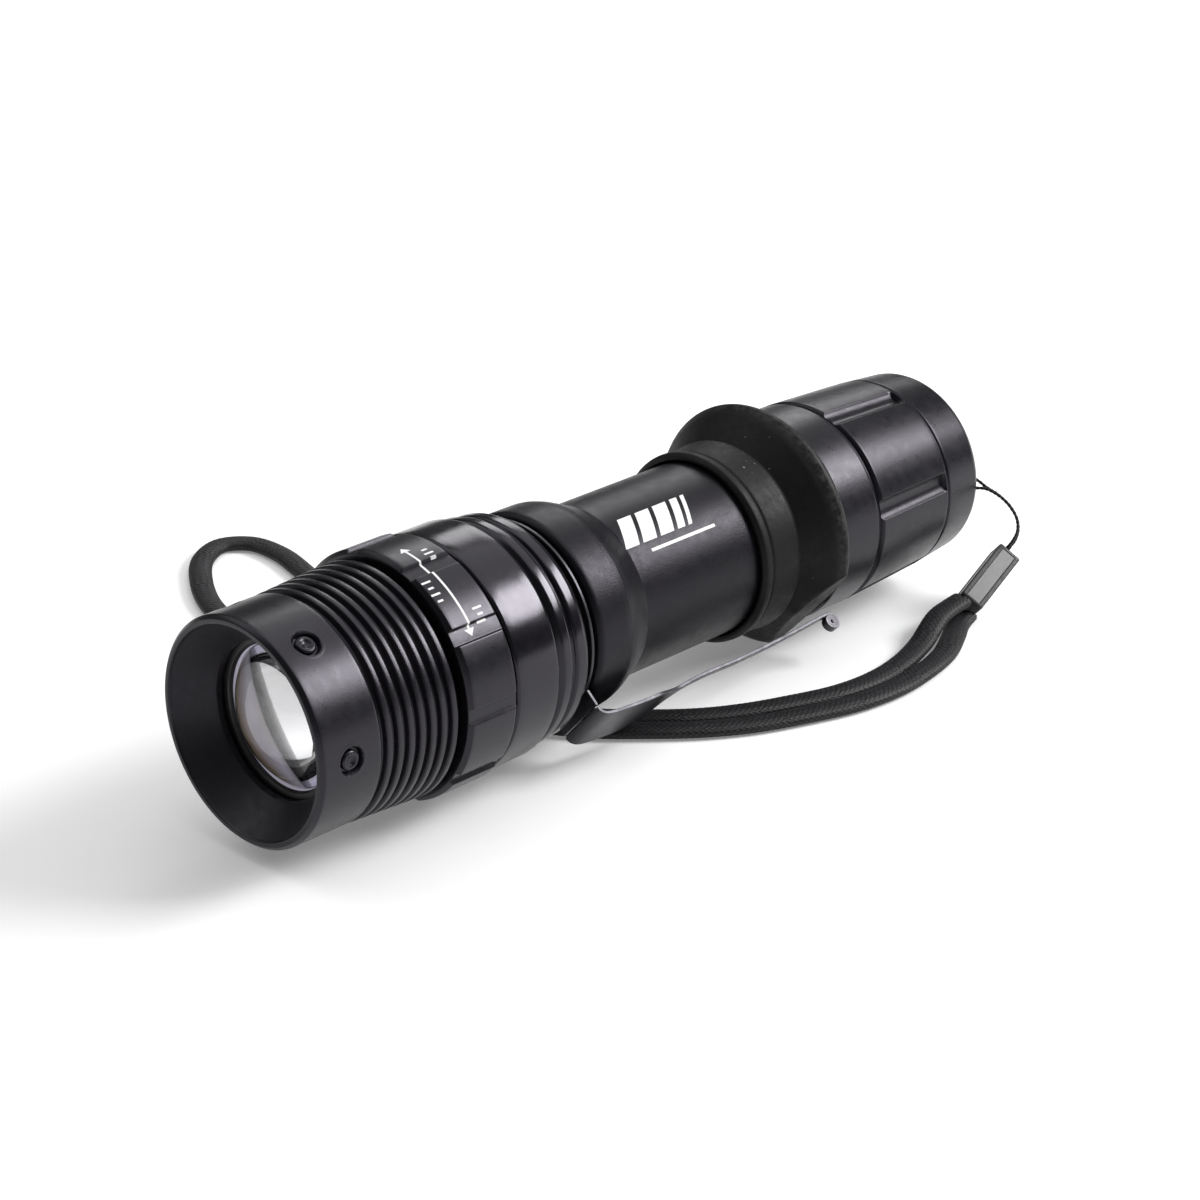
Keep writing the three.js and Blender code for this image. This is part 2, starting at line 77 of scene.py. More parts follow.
# ---------- nodes for the materials ----------
class Surface:
    """A Principled material, with short calls for the nodes that feed it."""

    def __init__(self, name, **values):
        self.material = bpy.data.materials.new(name)
        self.material.use_nodes = True
        self.tree = self.material.node_tree
        self.shader = self.tree.nodes["Principled BSDF"]
        for key, value in values.items():
            self.shader.inputs[key.replace("_", " ")].default_value = value
        self.place = self.tree.nodes.new("ShaderNodeTexCoord").outputs["Object"]

    def node(self, kind, settings=None, **links):
        made = self.tree.nodes.new(kind)
        for key, value in (settings or {}).items():
            setattr(made, key, value)
        for key, value in links.items():
            self.put(made.inputs[key.replace("_", " ")], value)
        return made

    def put(self, socket, value):
        if isinstance(value, bpy.types.NodeSocket):
            self.tree.links.new(value, socket)
        else:
            socket.default_value = value

    def math(self, operation, first, second=0.0):
        made = self.tree.nodes.new("ShaderNodeMath")
        made.operation = operation
        self.put(made.inputs[0], first)
        self.put(made.inputs[1], second)
        return made.outputs[0]

    def axis_distance(self):
        """Distance from the flashlight's axis, in metres."""
        moved = self.node("ShaderNodeVectorMath", {"operation": "SUBTRACT"})
        self.put(moved.inputs[0], self.place)
        moved.inputs[1].default_value = (0, FRONT, AXIS_HEIGHT)
        parts = self.node("ShaderNodeSeparateXYZ", Vector=moved.outputs[0])
        squares = [self.math("POWER", parts.outputs[axis], 2) for axis in "XZ"]
        return self.math("SQRT", self.math("ADD", *squares))

    def noise(self, grain, detail=3.0, roughness=0.55, stretch=(1, 1, 1)):
        """Noise whose blotches are about grain metres across."""
        mapped = self.node("ShaderNodeMapping", Vector=self.place, Scale=stretch)
        made = self.node("ShaderNodeTexNoise", Vector=mapped.outputs[0], Scale=1 / grain,
                         Detail=detail, Roughness=roughness)
        return made.outputs["Fac"]

    def span(self, value, low, high, to_low=0.0, to_high=1.0, smooth=False):
        kind = "SMOOTHSTEP" if smooth else "LINEAR"
        made = self.node("ShaderNodeMapRange", {"interpolation_type": kind}, Value=value,
                         From_Min=low, From_Max=high, To_Min=to_low, To_Max=to_high)
        return made.outputs[0]

    def mix(self, factor, first, second):
        made = self.tree.nodes.new("ShaderNodeMix")
        made.data_type = "RGBA"
        self.put(made.inputs["Factor"], factor)
        for socket, value in ((made.inputs[6], first), (made.inputs[7], second)):
            self.put(socket, value if isinstance(value, bpy.types.NodeSocket) else (*value, 1))
        return made.outputs[2]

    def colour(self, value):
        self.put(self.shader.inputs["Base Color"], value)

    def roughness(self, value):
        self.put(self.shader.inputs["Roughness"], value)

    def bump(self, *layers):
        """Each layer is (height, metres of relief)."""
        normal = None
        for height, relief in layers:
            made = self.node("ShaderNodeBump", Height=height, Distance=relief)
            made.inputs["Strength"].default_value = 1.0
            if normal is not None:
                self.put(made.inputs["Normal"], normal)
            normal = made.outputs[0]
        self.put(self.shader.inputs["Normal"], normal)


# ---------- materials ----------
def black_anodised(name, base, low, high, specular, blast, turned):
    """Black anodised aluminium: blast is the relief of its bead-blasted grain, turned that of the
    fine rings that the lathe left under it."""
    surface = Surface(name, Specular_IOR_Level=specular, Specular_Tint=(1.0, 0.95, 1.08, 1))
    cloud = surface.noise(0.009, 4)
    paler = tuple(1.55 * c for c in base)
    surface.colour(surface.mix(surface.span(cloud, 0.35, 0.7), base, paler))
    patches = surface.noise(0.0016, 5, 0.65)
    surface.roughness(surface.span(patches, 0.3, 0.7, low, high))
    grain = surface.noise(0.00018, 2, 0.6)
    rings = surface.noise(0.00012, 2, 0.5, (0.02, 1, 0.02))
    surface.bump((grain, blast), (rings, turned))
    return surface.material


def grip_rubber(name):
    surface = Surface(name, Specular_IOR_Level=0.22)
    radius = surface.axis_distance()
    cloud = surface.noise(0.006, 5, 0.6)
    rubber = surface.mix(surface.span(cloud, 0.35, 0.7), (0.002, 0.002, 0.0025), (0.0042, 0.004, 0.0048))
    scuffs = surface.noise(0.0011, 6, 0.7)
    rim = surface.span(radius, 0.0170, 0.0178, smooth=True)
    worn = surface.math("MULTIPLY", rim, surface.span(scuffs, 0.42, 0.62))
    rubber = surface.mix(surface.math("MULTIPLY", worn, 0.55), rubber, (0.06, 0.06, 0.056))
    specks = surface.node("ShaderNodeTexVoronoi", Vector=surface.place, Scale=900.0)
    lone = surface.span(specks.outputs["Distance"], 0.10, 0.17, 1.0, 0.0)
    few = surface.span(surface.noise(0.0021, 2), 0.60, 0.64)
    dust = surface.math("MULTIPLY", lone, few)
    surface.colour(surface.mix(dust, rubber, (0.2, 0.2, 0.19)))
    surface.roughness(surface.span(scuffs, 0.3, 0.7, 0.45, 0.62))
    surface.bump((surface.noise(0.0003, 4, 0.7), 0.00002), (scuffs, 0.00003))
    return surface.material


def seal_rubber(name):
    surface = Surface(name, Specular_IOR_Level=0.5)
    cloud = surface.noise(0.002, 4)
    surface.colour(surface.mix(cloud, (0.006, 0.006, 0.0065), (0.014, 0.014, 0.015)))
    surface.roughness(surface.span(cloud, 0.3, 0.7, 0.3, 0.5))
    surface.bump((surface.noise(0.0004, 3), 0.000008))
    return surface.material


def metal(name, colour, low, high, grain=0.0004, relief=0.000004, stretch=(1, 1, 1)):
    surface = Surface(name, Metallic=1.0)
    cloud = surface.noise(0.003, 5, 0.6)
    darker = tuple(0.72 * c for c in colour)
    surface.colour(surface.mix(surface.span(cloud, 0.3, 0.7), darker, colour))
    lines = surface.noise(grain, 4, 0.6, stretch)
    surface.roughness(surface.span(lines, 0.3, 0.7, low, high))
    surface.bump((lines, relief))
    return surface.material


def plastic(name, colour, low, high, specular=0.5):
    surface = Surface(name, Specular_IOR_Level=specular)
    cloud = surface.noise(0.004, 4)
    darker = tuple(0.8 * c for c in colour)
    surface.colour(surface.mix(surface.span(cloud, 0.3, 0.7), darker, colour))
    fine = surface.noise(0.0005, 4, 0.6)
    surface.roughness(surface.span(fine, 0.3, 0.7, low, high))
    surface.bump((fine, 0.000006))
    return surface.material


def circuit_board(name):
    surface = Surface(name)
    tracks = surface.node("ShaderNodeTexVoronoi", {"feature": "DISTANCE_TO_EDGE"},
                          Vector=surface.place, Scale=700.0)
    line = surface.span(tracks.outputs["Distance"], 0.05, 0.08)
    surface.colour(surface.mix(line, (0.03, 0.12, 0.06), (0.012, 0.07, 0.035)))
    surface.roughness(surface.span(surface.noise(0.001), 0.3, 0.7, 0.3, 0.5))
    surface.bump((line, 0.00002))
    return surface.material


def nylon(name):
    """Black nylon: the gaps between the strands carry painted shade, and the raised tops are painted paler
    as a painted highlight.
    """
    surface = Surface(name, Specular_IOR_Level=0.35, Sheen_Weight=0.04, Sheen_Roughness=0.4)
    yarn_height_and_shade = surface.node("ShaderNodeAttribute", {"attribute_name": "yarn_height_and_shade"}).outputs["Fac"]
    cloud = surface.noise(0.0012, 5, 0.7)
    filaments = surface.noise(0.00012, 4, 0.7)
    crown_with_painted_highlight = surface.mix(surface.span(cloud, 0.35, 0.65), (0.007, 0.006, 0.008), (0.022, 0.02, 0.024))
    # Painted shade in the gaps between the strands, painted highlight on their crowns.
    surface.colour(surface.mix(surface.span(yarn_height_and_shade, 0.55, 1.0, smooth=True), (0.0012, 0.001, 0.0014), crown_with_painted_highlight))
    surface.roughness(surface.span(filaments, 0.3, 0.7, 0.42, 0.62))
    surface.bump((filaments, 0.00003))
    return surface.material


def white_print(name):
    surface = Surface(name, Specular_IOR_Level=0.4)
    worn = surface.noise(0.0006, 5, 0.7)
    surface.colour(surface.mix(surface.span(worn, 0.3, 0.42), (0.5, 0.5, 0.5), (0.86, 0.86, 0.86)))
    surface.roughness(surface.span(worn, 0.3, 0.7, 0.4, 0.6))
    surface.bump((worn, 0.00001))
    return surface.material


def lens_glass(name):
    surface = Surface(name, Transmission_Weight=1.0, IOR=1.5)
    smear = surface.noise(0.004, 4)
    surface.colour(surface.mix(smear, (0.97, 0.975, 1.0), (1.0, 1.0, 1.0)))
    surface.roughness(surface.span(smear, 0.55, 0.8, 0.0, 0.03))
    return surface.material


def painted_light_coating(name, colour, glow):
    """A pale coating. Its faint glow is painted light: it stands for the light that the lens gathers on it,
    since no lamp is lit.
    """
    surface = Surface(name, Emission_Strength=glow)
    surface.shader.inputs["Emission Color"].default_value = (*colour, 1)
    cloud = surface.noise(0.0012, 4)
    surface.colour(surface.mix(cloud, tuple(0.85 * c for c in colour), colour))
    surface.roughness(surface.span(cloud, 0.3, 0.7, 0.35, 0.6))
    return surface.material


def make_materials():
    base = (0.0042, 0.0037, 0.0052)
    lathe_lines = {"grain": 0.0002, "stretch": (0.05, 1, 0.05)}
    return {
        "satin": black_anodised("black_anodised_satin", base, 0.26, 0.35, 0.37, 0.000012, 0.000003),
        "blasted": black_anodised("black_anodised_blasted", base, 0.3, 0.42, 0.2, 0.000026, 0.0),
        "tail": black_anodised("black_anodised_tail", base, 0.26, 0.36, 0.28, 0.000012, 0.000002),
        "cone": black_anodised("black_anodised_cone", base, 0.42, 0.55, 0.4, 0.00002, 0.000004),
        "gloss": black_anodised("black_anodised_gloss", base, 0.15, 0.22, 0.4, 0.000006, 0.000001),
        "rubber": grip_rubber("grip_rubber"),
        "seal": seal_rubber("seal_rubber"),
        "clip": black_anodised("clip_black_oxide", (0.006, 0.0055, 0.0065), 0.3, 0.42, 0.5,
                               0.000003, 0.000004),
        # The clip's narrow edges are painted paler: a painted highlight along them.
        "edge": black_anodised("clip_edge_painted_highlight", (0.025, 0.025, 0.027), 0.35, 0.5, 0.7,
                               0.000003, 0.000004),
        "steel": metal("spring_steel", (0.55, 0.55, 0.56), 0.2, 0.35),
        "brass": metal("turned_brass", (0.72, 0.53, 0.25), 0.22, 0.38, **lathe_lines),
        "aluminium": metal("bare_aluminium", (0.78, 0.77, 0.8), 0.3, 0.45, **lathe_lines),
        "board": circuit_board("circuit_board"),
        "nylon": nylon("braided_nylon"),
        "print": white_print("white_print"),
        "glass": lens_glass("lens_glass"),
        # These three glow faintly as painted light, standing for the light that the lens gathers; the
        # flashlight is not lit.
        "frosted": painted_light_coating("frosted_lens_edge_painted_glow", (0.72, 0.69, 0.82), 0.3),
        "led_board": painted_light_coating("led_board_painted_glow", (0.86, 0.83, 0.95), 0.28),
        "phosphor": painted_light_coating("led_phosphor", (0.95, 0.8, 0.3), 0.1),
        "crimp": plastic("crimp_plastic", (0.11, 0.11, 0.115), 0.28, 0.42, 0.6),
        "switch": plastic("switch_plastic", (0.02, 0.02, 0.02), 0.4, 0.6),
        "white": plastic("white_plastic", (0.75, 0.75, 0.72), 0.4, 0.55),
        "wrap": plastic("cell_wrap", (0.06, 0.2, 0.33), 0.2, 0.32),
    }


# ---------- meshes ----------
def add_mesh(name, vertices, faces, material, smooth_below=35):
    mesh = bpy.data.meshes.new(name)
    mesh.from_pydata(np.asarray(vertices).reshape(-1, 3).tolist(), [], faces)
    shaped = bmesh.new()
    shaped.from_mesh(mesh)
    bmesh.ops.recalc_face_normals(shaped, faces=shaped.faces)
    shaped.to_mesh(mesh)
    shaped.free()
    mesh.shade_smooth()
    mesh.set_sharp_from_angle(angle=math.radians(smooth_below))
    mesh.materials.append(material)
    made = bpy.data.objects.new(name, mesh)
    bpy.context.scene.collection.objects.link(made)
    return made


def place(piece, body, slot, *nodes):
    """The piece rides on a body and stands for its CAD nodes, which it hides. The slot argument is not
    used.
    """
    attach(piece, body)
    if nodes:
        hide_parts(*nodes)
    return piece


def on_axis(radius, station, angle):
    """Points round the flashlight's axis, in metres; the three can be arrays."""
    turn = np.radians(angle)
    radius, station, turn = np.broadcast_arrays(radius, station, turn)
    x = radius * np.sin(turn) * MM
    y = station * MM + FRONT
    z = radius * np.cos(turn) * MM + AXIS_HEIGHT
    return np.stack([x, y, z], axis=-1)


def soften(outline, radius=0.12, steps=3):
    """The outline with each corner rounded by up to that radius."""
    points = np.array(outline, float)
    ring = points[0][0] > 0
    rounded = []
    for i, corner in enumerate(points):
        if not ring and i in (0, len(points) - 1):
            rounded.append(corner)
            continue
        before, after = points[i - 1], points[(i + 1) % len(points)]
        ends = []
        for other in (before, after):
            side = other - corner
            length = np.linalg.norm(side)
            ends.append(corner + side / length * min(radius, 0.42 * length))
        for t in np.linspace(0, 1, steps + 1):
            rounded.append((1 - t) ** 2 * ends[0] + 2 * t * (1 - t) * corner + t * t * ends[1])
    return np.array(rounded)


def divide(points, spacing):
    """The outline with points added on its long edges."""
    ring = points[0][0] > 0
    ends = np.roll(points, -1, axis=0) if ring else points[1:]
    divided = []
    for start, end in zip(points, ends):
        count = max(1, math.ceil(np.linalg.norm(end - start) / spacing))
        divided.extend(start + (end - start) * k / count for k in range(count))
    if not ring:
        divided.append(points[-1])
    return np.array(divided)


def angles(coarse, fine=None, centres=(), reach=0.0):
    """Angles all the way round, closer together within reach of the centres."""
    chosen = set(np.round(np.arange(0, 360, coarse), 4))
    for centre in centres:
        chosen |= set(np.round(np.arange(centre - reach, centre + reach, fine) % 360, 4))
    ordered = np.array(sorted(chosen))
    apart = np.diff(np.append(ordered, ordered[0] + 360))
    return ordered[apart > (fine or coarse) * 0.45]


EVERY_DEGREE = angles(1.0)


def quads(rows, columns, closed):
    """Faces of a grid whose columns go round, and whose rows go round too if it is closed."""
    faces = []
    for i in range(rows if closed else rows - 1):
        near, far = i * columns, (i + 1) % rows * columns
        faces.extend((near + j, near + (j + 1) % columns, far + (j + 1) % columns, far + j)
                     for j in range(columns))
    return faces


def turned(name, outline, material, around=EVERY_DEGREE, shape=None):
    """A turned piece. A ring's outline closes on itself, and a solid's runs from axis to axis.
    shape changes the radii of the grid of points before they are placed."""
    outline = np.asarray(outline)
    ring = outline[0][0] > 0
    rows = outline if ring else outline[1:-1]
    radius = np.repeat(rows[:, :1], len(around), axis=1)
    station = rows[:, 1:2]
    if shape is not None:
        radius = shape(radius, station, around[None, :])
    vertices = on_axis(radius, station, around[None, :]).reshape(-1, 3)
    faces = quads(len(rows), len(around), ring)
    if not ring:
        poles = on_axis(0.0, outline[[0, -1], 1], 0.0)
        first = len(vertices)
        vertices = np.vstack([vertices, poles])
        last_row = (len(rows) - 1) * len(around)
        for j in range(len(around)):
            following = (j + 1) % len(around)
            faces.append((first, following, j))
            faces.append((first + 1, last_row + j, last_row + following))
    return add_mesh(name, vertices, faces, material)


def swept(name, sections, material, smooth_below=35):
    """A closed tube through sections, each an array of points in metres."""
    count, columns = len(sections), len(sections[0])
    faces = quads(count, columns, False)
    faces.append(tuple(range(columns)))
    faces.append(tuple((count - 1) * columns + j for j in reversed(range(columns))))
    return add_mesh(name, sections, faces, material, smooth_below)


def smooth_step(value):
    value = np.clip(value, 0, 1)
    return value * value * (3 - 2 * value)


def turn_between(angle, centre):
    """Degrees from the centre to the angle, the short way round."""
    return (angle - centre + 180) % 360 - 180


# ---------- the lanyard ----------
THREAD_ROUTE = [
    (0.01775, 0.06702, 0.00768), (0.01772, 0.0675, 0.00795), (0.0189, 0.0675, 0.0096),
    (0.0198, 0.0674, 0.0116), (0.0197, 0.0672, 0.0136), (0.0184, 0.0670, 0.0154),
    (0.0164, 0.0667, 0.0166), (0.0145, 0.0662, 0.0172), (0.0132, 0.0654, 0.0172),
    (0.0124, 0.0642, 0.0172), (0.0112, 0.0621, 0.0172), (0.0099, 0.0618, 0.0176),
    (0.0093, 0.0632, 0.0182), (0.0098, 0.0649, 0.0185), (0.0110, 0.0660, 0.0185),
    (0.0126, 0.0666, 0.0179), (0.0142, 0.06675, 0.0172), (0.0161, 0.0672, 0.0164),
    (0.0180, 0.0675, 0.0151), (0.0193, 0.06775, 0.0134), (0.0195, 0.0680, 0.0115),
    (0.0190, 0.0681, 0.0097), (0.0181, 0.0683, 0.0084), (0.01766, 0.06793, 0.00739),
    (0.01772, 0.06729, 0.0071),
]
STRAP_ROUTE = [
    (0.0193, 0.0565, 0.00125), (0.0202, 0.0535, 0.00095), (0.0222, 0.0500, 0.0009),
    (0.0252, 0.0440, 0.0009), (0.0269, 0.0370, 0.0009), (0.0275, 0.0300, 0.0009),
    (0.0266, 0.0226, 0.0009), (0.0239, 0.0146, 0.0009), (0.0208, 0.0076, 0.0009),
    (0.0166, 0.0014, 0.0009), (0.0109, -0.0047, 0.0009), (0.0065, -0.0088, 0.0009),
    (0.0, -0.0128, 0.0009), (-0.0100, -0.0164, 0.0009), (-0.0240, -0.0194, 0.0009),
    (-0.0400, -0.0214, 0.0009), (-0.0530, -0.0216, 0.0009), (-0.0630, -0.0193, 0.0009),
    (-0.0718, -0.0144, 0.0009), (-0.0784, -0.0086, 0.0009), (-0.0806, -0.0032, 0.0009),
    (-0.0778, 0.0004, 0.0009), (-0.0715, 0.0009, 0.0009), (-0.0630, -0.0012, 0.0009),
    (-0.0500, -0.0050, 0.0009), (-0.0360, -0.0079, 0.0009), (-0.0200, -0.0104, 0.0009),
    (-0.0020, -0.0088, 0.0009), (0.0036, -0.0058, 0.0009), (0.0080, -0.0020, 0.0009),
    (0.0136, 0.0040, 0.0009), (0.0173, 0.0098, 0.0009), (0.0202, 0.0163, 0.0009),
    (0.0227, 0.0234, 0.0009), (0.0235, 0.0300, 0.0009), (0.0229, 0.0366, 0.0009),
    (0.0212, 0.0434, 0.0013), (0.0192, 0.0500, 0.0030), (0.0187, 0.0536, 0.0033),
    (0.0187, 0.0562, 0.0036),
]
STRAP_WIDTH = 0.0036
STRAP_THICKNESS = 0.0018
CORD_DIAMETER = 0.0005
CORD_TWIST = 0.0014
CRIMP_LOW_END = Vector((0.01895, 0.0570, 0.0025))
CRIMP_HIGH_END = Vector((0.0180, 0.0672, 0.0071))
CRIMP_WIDTH = 0.0038
CRIMP_DEPTH = 0.0039


def smooth_route(points, spacing):
    """A centripetal Catmull-Rom curve through the points, resampled at even steps."""
    points = np.array(points)
    extended = np.vstack([2 * points[0] - points[1], points, 2 * points[-1] - points[-2]])
    fine = []
    for p0, p1, p2, p3 in zip(extended, extended[1:], extended[2:], extended[3:]):
        legs = ((p0, p1), (p1, p2), (p2, p3))
        knots = np.cumsum([0, *(math.sqrt(np.linalg.norm(end - start)) for start, end in legs)])
        for t in np.linspace(knots[1], knots[2], 24, endpoint=False):
            a = [((knots[i + 1] - t) * p + (t - knots[i]) * q) / (knots[i + 1] - knots[i])
                 for i, (p, q) in enumerate(legs)]
            b = [((knots[i + 2] - t) * a[i] + (t - knots[i]) * a[i + 1]) / (knots[i + 2] - knots[i])
                 for i in range(2)]
            fine.append(((knots[2] - t) * b[0] + (t - knots[1]) * b[1]) / (knots[2] - knots[1]))
    fine = np.array([*fine, points[-1]])
    along = np.concatenate([[0], np.cumsum(np.linalg.norm(np.diff(fine, axis=0), axis=1))])
    steps = np.linspace(0, along[-1], max(2, round(along[-1] / spacing)) + 1)
    return np.stack([np.interp(steps, along, fine[:, i]) for i in range(3)], axis=1), steps


def frames_along(route, reference=(0, 0, 1)):
    """Unit vectors across the route and above it, kept level with the reference."""
    tangent = np.gradient(route, axis=0)
    tangent /= np.linalg.norm(tangent, axis=1, keepdims=True)
    across = np.cross(tangent, reference)
    across /= np.linalg.norm(across, axis=1, keepdims=True)
    return across, np.cross(across, tangent)


BRAID_PITCH = 0.00085
BRAID_CARRIERS = 12
BRAID_RELIEF = 0.00014


def braid_height(along, around):
    """Height from 0 to 1 of yarns that cross over and under each other in a tubular braid."""
    lead = around * BRAID_CARRIERS / (2 * math.pi)
    first = along / BRAID_PITCH + lead
    second = along / BRAID_PITCH - lead
    over = np.sin(math.pi * first) * np.sin(math.pi * second) > 0
    across_first = np.abs(first % 1 - 0.5) * 2
    across_second = np.abs(second % 1 - 0.5) * 2
    upper = np.where(over, across_first, across_second)
    return np.sqrt(np.clip(1 - upper ** 2, 0, 1))


def make_strap(material):
    route, steps = smooth_route(STRAP_ROUTE, 0.00014)
    across, above = frames_along(route)
    around = np.linspace(0, 2 * math.pi, 72, endpoint=False)
    yarn_height_and_shade = braid_height(steps[:, None], around[None, :])
    height = (yarn_height_and_shade - 1) * BRAID_RELIEF
    # A squarish ellipse: the flattened tube is nearly flat above and below.
    flat = np.sign(np.cos(around)) * np.abs(np.cos(around)) ** 0.85
    domed = np.sign(np.sin(around)) * np.abs(np.sin(around)) ** 0.85
    sections = (route[:, None, :] + across[:, None, :] * ((STRAP_WIDTH / 2 + height) * flat)[:, :, None]
                + above[:, None, :] * ((STRAP_THICKNESS / 2 + height) * domed)[:, :, None])
    strap = swept("wrist_strap_braid", sections, material, 180)
    # The braid height is stored for the nylon material, which paints shade into the gaps between the
    # strands and a paler painted highlight on their crowns.
    painted_shade_attribute = strap.data.attributes.new("yarn_height_and_shade", "FLOAT", "POINT")
    painted_shade_attribute.data.foreach_set("value", yarn_height_and_shade.astype(np.float32).ravel())
    return strap, route, steps[-1]


def make_thread(material):
    route, steps = smooth_route(THREAD_ROUTE, 0.0001)
    across, above = frames_along(route, (0.3, -0.5, 0.81))
    around = np.linspace(0, 2 * math.pi, 16, endpoint=False)
    # Two plies twisted together: the section is a figure of eight that turns along the cord.
    twist = 2 * math.pi * steps / CORD_TWIST
    ply = np.abs(np.cos(around[None, :] - twist[:, None]))
    radius = CORD_DIAMETER / 2 * (0.72 + 0.28 * ply)
    sections = (route[:, None, :] + across[:, None, :] * (radius * np.cos(around))[:, :, None]
                + above[:, None, :] * (radius * np.sin(around))[:, :, None])
    thread = swept("lanyard_thread_twist", sections, material, 180)
    # The ply height is stored for the nylon material, which paints shade into the groove between the two
    # plies and a paler painted highlight on them.
    painted_shade_attribute = thread.data.attributes.new("yarn_height_and_shade", "FLOAT", "POINT")
    painted_shade_attribute.data.foreach_set("value", ply.astype(np.float32).ravel())
    return thread, route, steps[-1]


def crimp_outlines(half, corner, recess):
    """The block's outline, and the same outline with its four faces sunk between the edges."""
    corners = []
    for quarter in range(4):
        turn = math.radians(45 + 90 * quarter)
        side = np.sign([math.cos(turn), math.sin(turn)])
        spread = np.radians(np.arange(0, 91, 15) + 90 * quarter)
        corners.append(side * (half - corner) + corner * np.stack([np.cos(spread), np.sin(spread)], axis=1))
    raised, sunk = [], []
    for ring, following in zip(corners, corners[1:] + corners[:1]):
        end = ring[-1]
        face = [end + (following[0] - end) * t for t in (0.12, 0.17, 0.5, 0.83, 0.88)]
        inwards = np.round(end / half) * (np.abs(end) > half - 1e-6) * recess
        raised += [*ring, *face]
        sunk += [*ring, face[0], *(point - inwards for point in face[1:4]), face[4]]
    return np.array(raised), np.array(sunk)


def make_crimp(materials):
    """The square crimp: dark raised edges round four paler faces that sit just inside them."""
    start, end = np.array(CRIMP_LOW_END), np.array(CRIMP_HIGH_END)
    length = np.linalg.norm(end - start)
    axis = (end - start) / length
    # It lies turned about its own axis, one wide face up and outwards.
    upwards = np.array([0.64, -0.65, 0.41])
    upwards -= axis * upwards.dot(axis)
    upwards /= np.linalg.norm(upwards)
    sideways = np.cross(axis, upwards)
    half = np.array([CRIMP_WIDTH, CRIMP_DEPTH]) / 2
    edge, corner, recess = 0.00045, 0.00025, 0.00010
    raised, sunk = crimp_outlines(half, corner, recess)
    near_end = [(0, raised * 0.93), (corner / 2, raised * 0.98), (corner, raised), (edge, raised),
                (edge * 1.2, sunk)]
    far_end = [(length - along, shape) for along, shape in reversed(near_end)]
    sections = [start + axis * along + sideways * shape[:, :1] + upwards * shape[:, 1:]
                for along, shape in [*near_end, (length / 2, sunk), *far_end]]
    crimp = swept("crimp_block", sections, materials["switch"], 30)
    crimp.data.materials.append(materials["crimp"])
    for face in crimp.data.polygons:
        local = np.array(face.center) - start
        inside = np.abs([local.dot(sideways), local.dot(upwards)]) < half - recess * 0.9
        if edge < local.dot(axis) < length - edge and inside.all():
            face.material_index = 1
    return crimp


def make_lanyard(materials):
    thread, thread_path, thread_length = make_thread(materials["nylon"])
    strap, strap_path, strap_length = make_strap(materials["nylon"])
    crimp = make_crimp(materials)
    place(thread, "tail", "black_nylon", "lanyard_thread")
    place(strap, "tail", "black_nylon", "wrist_strap")
    place(crimp, "tail", "crimp_plastic", "crimp_bead")


# ---------- bezel, lens and light engine ----------
RIB_COUNT = 7
RIB_START = 9.9
RIB_PITCH = 1.74


def bezel_outline():
    front = [[14.2, 0.35], [14.35, 0.0], [15.0, 0.0], [BEZEL_RADIUS, 0.5], [BEZEL_RADIUS, 9.4],
             [15.35, 9.75]]
    ribs = []
    for i in range(RIB_COUNT):
        start = RIB_START + i * RIB_PITCH
        crest = 15.6 + 0.1 * i
        ribs += [[crest - 0.8, start], [crest - 0.8, start + 0.5],
                 [crest, start + 0.75], [crest, start + RIB_PITCH - 0.22]]
    back = [[15.9, 22.2], [12.9, 22.2], [12.9, 5.9], [10.7, 5.9], [10.7, 4.95]]
    return front + ribs + back


def pin_recess(radius, station, angle):
    """Round recesses for the staked pins, with a slightly raised lip."""
    cut = np.zeros(np.broadcast_shapes(radius.shape, station.shape, angle.shape))
    for centre in PIN_ANGLES:
        across = np.radians(turn_between(angle, centre)) * BEZEL_RADIUS
        distance = np.hypot(across, station - PIN_STATION)
        cut += 0.8 * (1 - smooth_step((distance - 1.66) / 0.3))
        cut -= 0.02 * np.exp(-((distance - 2.15) / 0.16) ** 2)
    outside = (radius > 15.2) & (station < 8)
    return np.where(outside, radius - cut, radius)


def make_pin(name, angle, material):
    """A staked pin: a domed ring with a dimple in the middle, standing in its recess."""
    outline = [(0.0, 15.02), (0.3, 15.03), (0.55, 15.2), (0.85, 15.38), (1.15, 15.36), (1.36, 15.16),
               (1.42, 14.8), (1.42, 13.9)]
    sides = 40
    around = np.linspace(0, 2 * math.pi, sides, endpoint=False)
    vertices = []
    # The first and last corners are left out, because a point caps each end.
    for reach, height in soften([[r, h] for r, h in outline[1:]], 0.1)[4:-4]:
        bent = np.degrees(reach * np.sin(around) / BEZEL_RADIUS)
        vertices.append(on_axis(height, PIN_STATION + reach * np.cos(around), angle + bent))
    rows = len(vertices)
    top, base = on_axis(outline[0][1], PIN_STATION, angle), on_axis(outline[-1][1], PIN_STATION, angle)
    faces = quads(rows, sides, False)
    vertices = np.vstack([np.array(vertices).reshape(-1, 3), top, base])
    first, last_row = rows * sides, (rows - 1) * sides
    for j in range(sides):
        following = (j + 1) % sides
        faces.append((first, following, j))
        faces.append((first + 1, last_row + j, last_row + following))
    return add_mesh(name, vertices, faces, material)


